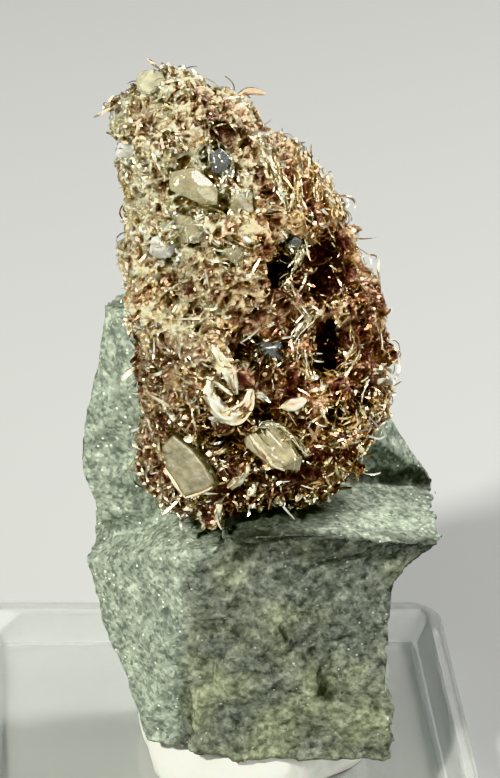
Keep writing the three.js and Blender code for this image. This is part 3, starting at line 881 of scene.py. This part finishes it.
def strand_piece(name, points, faces, material, tone, warmth):
    """A gold piece of strands, with a tone and a warmth for each strand or for its points."""
    each = len(points) // len(tone)
    values = {}
    for label, numbers in (("tone", tone), ("warmth", warmth)):
        numbers = np.broadcast_to(numbers.reshape(len(tone), -1), (len(tone), each))
        values[label] = np.clip(numbers, 0, 1).ravel()
    new_piece(name, points, faces, material, "gold", **values)


def strand_ways(style, outward, along, rng):
    """Which way each strand starts, which way it bends and how much it twists."""
    size = len(outward)
    across = np.cross(outward, along) * rng.choice([-1, 1], size)[:, None]
    scatter = unit(rng.normal(size=(size, 3)))
    stand = rng.random(size)[:, None]
    if style == "upright":
        return along + 0.3 * across, across + 0.15 * scatter, 0.35
    if style == "arching":
        return along + 0.5 * scatter + 0.7 * stand * outward, across * stand - outward, 0.8
    if style == "fanned":
        return 0.9 * scatter + (0.25 + 0.5 * stand) * outward, scatter - 0.6 * outward, 0.8
    return along + 0.4 * scatter + 0.5 * stand * outward, 1.6 * scatter - 1.1 * outward, 1.2


def gold_growth(material, surface, core, triangles, walls):
    """Frills, curls, wires, tufts, ribbons and leaves that run along the walls of the sponge."""
    rng = np.random.default_rng(SEED)
    normals = normals_of(surface, triangles)
    behind = smoothstep(-0.1, 0.6, normals[:, 1])
    chance = (0.03 + walls**3) * (1 - 0.45 * behind) * (1 + 0.25 * low_part(surface))
    step = 0.05
    slope = np.stack([web(surface + step * axis) - walls for axis in np.eye(3)], axis=1)
    tangents = unit(np.cross(normals, slope) + 1e-6)
    fall = np.array([0.1, -0.2, -1.0])
    for name, count, share, lengths, widths, curls, section, rows, style in GROWTH:
        places, nearest = scattered(core, triangles, chance, count, rng)
        keep = clear_of_quartz(places) | (rng.random(count) < OVER_QUARTZ)
        places, nearest = np.repeat(places[keep], share, axis=0), np.repeat(nearest[keep], share)
        size = len(places)
        outward, along = normals[nearest], tangents[nearest]
        along = along * rng.choice([-1, 1], size)[:, None]
        # on the right shoulder the growth hangs downward
        combed = smoothstep(0.5, 2.5, places[:, 0]) * smoothstep(35.0, 38.0, places[:, 2])
        down = fall - outward * (outward @ fall)[:, None]
        along = along + (1.1 * down - along) * 0.8 * combed[:, None]
        directions, toward, twist = strand_ways(style, outward, along, rng)
        below, right = low_part(places), smoothstep(0.0, 5.0, places[:, 0])
        hollow = hollow_shade(places)
        points, faces = curled_strips(
            rng, places - outward * 0.05, directions, toward,
            rng.uniform(*lengths, size) * (1 + 0.10 * below),
            rng.uniform(*widths, size) * (1 + 0.15 * below), rng.uniform(*curls, size), twist,
            section, rows,
        )
        # painted shade: each strand darker and ruddier toward its root, down in the growth, and
        # brighter where it rises clear
        rise = np.sum((points.reshape(size, -1, 3) - places[:, None]) * outward[:, None], axis=2)
        lit = 0.38 + 0.77 * smoothstep(-0.12, 0.30, rise)
        # painted shade in the hollows on half the strands, and painted light on the strands low
        # down and at the right; in the hollows all strands are less ruddy
        dim = 0.6 * (rng.random(size) < 0.5)
        tone = gold_tone(places) * (1 - dim * hollow) + 0.24 * below + 0.12 * right
        tone = tone + 0.24 * noise(places, 0.6, 77) + rng.normal(scale=0.20, size=size)
        warmth = gold_warmth(places) - 0.55 * hollow + rng.normal(scale=0.25, size=size)
        strand_piece(
            name, points, faces, material, (tone[:, None] + 0.27) * lit,
            warmth[:, None] + 0.8 * (0.85 - lit),
        )


STRANDS_FROM_EDGE = 90  # on each crystal
STRANDS_ON_FACE = 40


def gold_over_quartz(material, crystals, core, triangles):
    """Strands that reach over each crystal's edges from the gold round it, and across its face."""
    rng = np.random.default_rng(SEED + 2)
    normals = normals_of(core, triangles)
    strands = []
    for points, faces in crystals:
        middle, half = box_of(points)
        reach = reach_from(core, middle, half + 0.35)
        round_it = np.flatnonzero((reach > 0.75) & (reach < 1.15))
        out = unit(normals[round_it].mean(axis=0))
        level = (core[round_it] - middle) @ out > -0.25 * half.mean()
        chosen = rng.choice(round_it[level], STRANDS_FROM_EDGE)
        inward = middle - core[chosen]
        inward = unit(inward - np.outer(inward @ out, out))
        scatter = unit(rng.normal(size=(len(chosen), 3)))
        ahead, bend = inward + 0.35 * out + 0.6 * scatter, 0.5 * inward - 1.2 * out + 0.8 * scatter
        strands.append((core[chosen], ahead, bend))
        places, nearest = scattered(points, faces, np.ones(len(points)), STRANDS_ON_FACE, rng)
        away = normals_of(points, faces)[nearest]
        scatter = unit(rng.normal(size=(len(places), 3)))
        strands.append((places, np.cross(away, scatter) + 0.15 * away, 0.4 * scatter - away))
    roots, directions, toward = (np.concatenate(parts) for parts in zip(*strands))
    size = len(roots)
    points, faces = curled_strips(
        rng, roots, directions, toward, rng.uniform(0.3, 1.0, size),
        rng.uniform(0.05, 0.15, size), rng.uniform(1.0, 3.2, size), 0.8, FLAT_SECTION, 5,
    )
    tone = gold_tone(roots) + rng.normal(scale=0.15, size=size)
    strand_piece("gold_over_quartz", points, faces, material, tone, gold_warmth(roots))


def smooth_path(path, rows):
    """Points along a smooth curve through the path's points."""
    path = np.array(path, float)
    ends = np.vstack([2 * path[0] - path[1], path, 2 * path[-1] - path[-2]])
    spans = np.linspace(0, len(path) - 1, rows + 1)
    index = np.minimum(spans.astype(int), len(path) - 2)
    t = (spans - index)[:, None]
    a, b, c, d = (ends[index + k] for k in range(4))
    return 0.5 * (
        2 * b + (c - a) * t + (2 * a - 5 * b + 4 * c - d) * t * t
        + (3 * b - a - 3 * c + d) * t**3
    )


# The large leaves: path, the way the broad side faces, width, fold height, tone and warmth.
LARGE_LEAVES = [
    # the thick crescent low in the middle
    ([(-2.0, -4.9, 31.6), (-2.1, -5.3, 30.8), (-1.8, -5.7, 30.2), (-1.1, -5.9, 29.6),
      (-0.4, -5.9, 29.7), (0.1, -5.7, 30.2), (0.3, -5.3, 31.0)], (-0.1, -0.85, 0.5), 1.05, 0.20,
     0.93, 0.12),
    # the long leaf that hangs above it
    ([(-2.2, -4.7, 33.8), (-1.8, -5.3, 33.1), (-1.1, -5.8, 32.2), (-0.6, -6.0, 31.0)],
     (-0.3, -0.9, 0.2), 0.85, 0.12, 0.85, 0.05),
    # a strand that joins the two
    ([(-2.3, -5.0, 31.6), (-1.6, -5.4, 31.4), (-0.8, -5.7, 30.8)], (0.0, -0.9, 0.4), 0.38, 0.06,
     0.85, 0.2),
    # along the lower edges of the quartz plate
    ([(-4.45, -4.68, 25.34), (-3.87, -5.32, 24.70), (-3.35, -5.91, 24.11)], (-0.4, -0.8, 0.4),
     0.24, 0.03, 0.85, 0.2),
    ([(-3.35, -5.91, 24.11), (-2.45, -6.15, 24.55), (-1.74, -6.25, 25.06)], (-0.4, -0.8, 0.4),
     0.22, 0.03, 0.85, 0.3),
    # along the block's lower left edge
    ([(0.31, -5.05, 27.92), (0.93, -5.51, 27.12), (1.63, -5.88, 26.44), (2.44, -6.07, 26.05)],
     (-0.4, -0.8, 0.3), 0.34, 0.04, 0.80, 0.3),
    # the brown plate
    ([(-0.8, -5.0, 32.1), (-0.2, -5.1, 31.7), (0.5, -5.2, 31.2)], (0.1, -0.9, 0.3), 1.2, 0.03,
     0.33, 1.0),
    # the flat that mirrors the light
    ([(2.1, -5.2, 29.8), (2.8, -5.4, 30.1), (3.5, -5.4, 30.4)], (-0.33, -0.75, 0.58), 0.8, 0.0,
     1.0, 0.4),
    # leaves at the foot
    ([(0.3, -4.6, 26.9), (0.0, -5.8, 25.8), (-0.6, -5.4, 24.4)], (-0.3, -0.9, 0.1), 0.7, 0.10,
     0.8, 0.3),
    ([(-1.0, -4.4, 24.2), (-1.4, -5.3, 22.9), (-1.8, -5.2, 21.6)], (-0.5, -0.8, 0.1), 0.6, 0.10,
     0.7, 0.4),
    # the thin leaf at the upper right
    ([(-0.6, 2.4, 46.1), (0.1, 2.4, 46.4), (1.0, 2.4, 46.2)], (0.0, -0.6, 0.8), 0.5, 0.05, 0.66,
     0.4),
]


def onto(path, surface, normals):
    """The path moved onto the surface, a little above it in between and sunk at both ends."""
    height, sunk = 0.12, (0, 0.4, 0)
    nearest = [np.argmin(norm(surface - place, axis=1)) for place in np.array(path)]
    moved = surface[nearest] + normals[nearest] * height
    return np.vstack([moved[0] + sunk, moved, moved[-1] + sunk])


# Bundles of fine strands: path, how many, how far they spread, tone and warmth.
BUNDLES = [
    # down the right shoulder
    ([(0.6, 0.8, 44.0), (1.0, -0.6, 43.0), (1.3, -1.2, 42.0)], 24, 0.26, 0.76, 0.3),
    ([(1.4, 1.2, 43.2), (1.7, -1.2, 42.7), (2.3, -1.9, 41.1)], 34, 0.28, 0.74, 0.6),
    ([(3.0, 1.7, 42.8), (2.8, -0.9, 42.3), (2.8, -2.2, 41.2)], 34, 0.28, 0.74, 0.8),
    ([(3.6, 1.5, 42.5), (3.8, -0.1, 42.0), (3.9, -1.0, 41.2)], 34, 0.28, 0.74, 0.9),
    ([(4.4, 0.3, 41.6), (4.8, -0.6, 40.8), (5.0, -1.0, 39.8)], 30, 0.26, 0.72, 0.9),
    # across the top of the dark hollow and down both its sides
    ([(0.8, -2.1, 40.9), (2.2, -2.2, 40.9), (3.6, -1.8, 40.7)], 8, 0.08, 0.80, 0.7),
    ([(1.3, -2.3, 39.5), (2.0, -2.4, 40.3), (2.6, -2.6, 41.0)], 8, 0.07, 0.60, 1.0),
    ([(2.9, -2.5, 41.0), (2.9, -2.8, 39.8), (3.3, -2.6, 38.8)], 8, 0.09, 0.75, 0.6),
    # from the hollow down the middle
    ([(2.9, -2.7, 38.6), (2.4, -2.6, 37.4), (2.2, -3.0, 36.4)], 18, 0.12, 0.85, 0.2),
    ([(2.4, -3.2, 36.4), (3.2, -3.4, 35.3), (3.5, -3.3, 34.6), (2.9, -3.8, 33.7),
      (2.7, -4.3, 32.4)], 40, 0.18, 0.85, 0.3),
    ([(2.9, -3.8, 33.6), (3.3, -4.0, 32.4), (3.7, -4.2, 31.2)], 20, 0.15, 0.75, 0.5),
    # down the right side of the lower hollow
    ([(6.1, -2.8, 33.8), (6.4, -3.0, 32.4), (5.8, -3.6, 30.8)], 9, 0.22, 0.60, 0.8),
    # at the right edge
    ([(7.5, -1.8, 34.2), (8.3, -1.4, 32.6), (8.7, -1.0, 31.0)], 5, 0.10, 0.80, 0.5),
    # over the ends of the block
    ([(1.0, -4.9, 28.3), (2.0, -5.2, 28.1), (3.0, -5.0, 27.3), (3.8, -4.6, 26.3)], 30, 0.12,
     0.85, 0.2),
    ([(-0.2, -5.2, 24.6), (0.1, -5.8, 25.6), (0.7, -4.8, 26.4)], 8, 0.12, 0.80, 0.3),
]


def gold_bundles(material, core, triangles):
    """Fine strands that run side by side and wave a little."""
    rng = np.random.default_rng(SEED + 3)
    normals = normals_of(core, triangles)
    rows, fine = 12, 60
    u = np.linspace(0, 1, rows + 1)[None, :, None]
    bundles = []
    for path, count, spread, tone, warmth in BUNDLES:
        line = smooth_path(onto(path, core, normals), fine)
        first = rng.uniform(0, 0.6, (count, 1, 1))
        part = (first + u * rng.uniform(0.3, 0.5, (count, 1, 1)))[..., 0]
        along = line[np.clip(np.round(part * fine), 0, fine).astype(int)]
        start, end = rng.normal(scale=spread, size=(2, count, 1, 3))
        swing = u * rng.uniform(3, 11, (count, 1, 1)) + rng.uniform(0, 6, (count, 1, 3))
        bundles.append((
            along + start * (1 - u) + end * u + 0.10 * np.sin(swing),
            tone + rng.normal(scale=0.14, size=count), warmth + rng.normal(scale=0.2, size=count),
        ))
    centres, tone, warmth = (np.concatenate(parts) for parts in zip(*bundles))
    size = len(centres)
    tangents = unit(np.gradient(centres, axis=1))
    ups = unit(np.cross(tangents, rng.normal(size=(size, 1, 3))))
    points, faces = skinned(
        centres, np.cross(tangents, ups), ups, rng.uniform(0.05, 0.12, size), FLAT_SECTION
    )
    strand_piece("gold_bundles", points, faces, material, tone, warmth)


def large_leaves(material):
    """Broad leaves with folds along them and ragged edges, each closed."""
    rows, columns = 40, 13
    u = np.linspace(0, 1, rows + 1)[:, None]
    v = np.linspace(-1, 1, columns)[None]
    tapered = np.sin(math.pi * (0.07 + 0.86 * u)) ** 0.8

    # a leaf's triangles: its upper side, its lower side and its rim
    grid = np.arange((rows + 1) * columns).reshape(rows + 1, columns)
    a, b = grid[:-1, :-1].ravel(), grid[1:, :-1].ravel()
    c, d = grid[1:, 1:].ravel(), grid[:-1, 1:].ravel()
    rim = np.concatenate([grid[0, :], grid[1:, -1], grid[-1, -2::-1], grid[-2:0:-1, 0]])
    ahead = np.roll(rim, -1)
    lower = grid.size
    leaf = np.concatenate([np.column_stack(corners) for corners in (
        (a, c, b), (a, d, c), (a + lower, b + lower, c + lower), (a + lower, c + lower, d + lower),
        (rim, rim + lower, ahead + lower), (rim, ahead + lower, ahead),
    )])

    sides, faces = [], []
    for number, (path, facing, width, fold, tone, warmth) in enumerate(LARGE_LEAVES):
        centre = smooth_path(path, rows)
        tangent = unit(np.gradient(centre, axis=0))
        side = unit(np.cross(tangent, np.array(facing, float)))
        normal = np.cross(side, tangent)
        length = norm(np.diff(centre, axis=0), axis=1).sum()
        flat = np.stack(
            [u * length / 3.2 + 0 * v, v * width * 0.5 + 0 * u, number * 7.0 + 0 * u * v], axis=-1
        ).reshape(-1, 3)
        folds = fractal(flat, 0.24, 3, 91).reshape(grid.shape)
        torn = fractal(flat * np.array([2.6, 0.001, 1]), 0.4, 3, 95).reshape(grid.shape)
        reach = 0.5 * width * tapered * (1 + 0.28 * torn) * v
        bowl = -0.18 * width * tapered * v * v
        shell = 0.10 * tapered * (1 - 0.6 * v * v) + 0.02
        for height in (shell / 2, -shell / 2):
            rise = bowl + fold * 2.2 * folds * tapered + height
            points = centre[:, None] + side[:, None] * reach[..., None]
            points = (points + normal[:, None] * rise[..., None]).reshape(-1, 3)
            # painted light and shade: each leaf brighter on its folds' crests and darker and
            # ruddier in their troughs
            lit, ruddy = tone * (0.78 + 0.75 * folds), warmth - 0.5 * folds
            sides.append((points, np.clip(lit, 0, 1).ravel(), np.clip(ruddy, 0, 1).ravel()))
        faces.append(leaf + 2 * lower * number)
    points, tone, warmth = (np.concatenate(parts) for parts in zip(*sides))
    new_piece(
        "gold_large_leaves", points, np.concatenate(faces), material, "gold", smooth=True,
        tone=tone, warmth=warmth,
    )


# ---- stage ----
# in metres: the floor, and what the lights point at
FLOOR_HALF = 4.0
FLOOR_HEIGHT = -0.0001
LIT_PLACE = (0, 0, 0.028)

# The lights: place and width in metres, power in watts and colour.
LIGHTS = {
    "key": ((-0.25, -0.26, 0.33), 0.05, 5.4, (1.0, 0.97, 0.88)),
    "fill": ((0.30, -0.35, 0.16), 0.30, 1.0, (1.0, 0.98, 0.95)),
    "side": ((0.24, 0.06, 0.30), 0.08, 2.4, (1.0, 0.97, 0.92)),
}
ROOM_COLOUR = (0.50, 0.52, 0.55, 1)
ROOM_STRENGTH = 0.36
EXPOSURE = -0.2


def stage():
    mesh = bpy.data.meshes.new("floor")
    mesh.from_pydata([(x * FLOOR_HALF, y * FLOOR_HALF, 0) for x, y in SQUARE], [], [(0, 1, 2, 3)])
    mesh.materials.append(
        new_material("pale_floor", Base_Color=(0.30, 0.31, 0.31, 1), Roughness=0.9)[0]
    )
    floor = placed("floor", mesh)
    floor.location.z = FLOOR_HEIGHT

    world = bpy.data.worlds.new("studio")
    world.use_nodes = True
    background = world.node_tree.nodes["Background"]
    plug(background, "Color", ROOM_COLOUR)
    plug(background, "Strength", ROOM_STRENGTH)
    scene.world = world
    for name, (place, size, power, colour) in LIGHTS.items():
        light = bpy.data.lights.new(name, "AREA")
        light.shape = "DISK"
        light.size, light.energy, light.color = size, power, colour
        lamp = placed(name, light)
        lamp.location = place
        away = Vector(LIT_PLACE) - Vector(place)
        lamp.rotation_euler = away.to_track_quat("-Z", "Y").to_euler()


def camera():
    data = bpy.data.cameras.new("camera")
    data.lens = CAMERA_LENS
    data.clip_start = 0.005
    forward, up = (Vector(way).normalized() for way in (CAMERA_FORWARD, CAMERA_UP))
    right = forward.cross(up).normalized()
    turn = Matrix((right, right.cross(forward), -forward)).transposed()
    viewer = placed("camera", data)
    viewer.matrix_world = Matrix.Translation(Vector(CAMERA_PLACE) * MM) @ turn.to_4x4()
    bpy.context.scene.camera = viewer


camera()
stage()
display_tray(tray_material())
mounting_putty(putty_material())
matrix_rock(stone_material())
quartz = quartz_crystals()
core_gold = gold_material("native_gold_core", 0.32, 0.32, 0.8)
surface, core, triangles, walls = gold_core(core_gold)
gold = gold_material("native_gold", 0.27, 0.02, 0.4)
gold_growth(gold, surface, core, triangles, walls)
gold_over_quartz(gold, quartz, core, triangles)
gold_bundles(gold, core, triangles)
large_leaves(gold_material("native_gold_leaf", 0.32, 0.10, 0.3))

scene.view_settings.view_transform = "Khronos PBR Neutral"
scene.view_settings.exposure = EXPOSURE
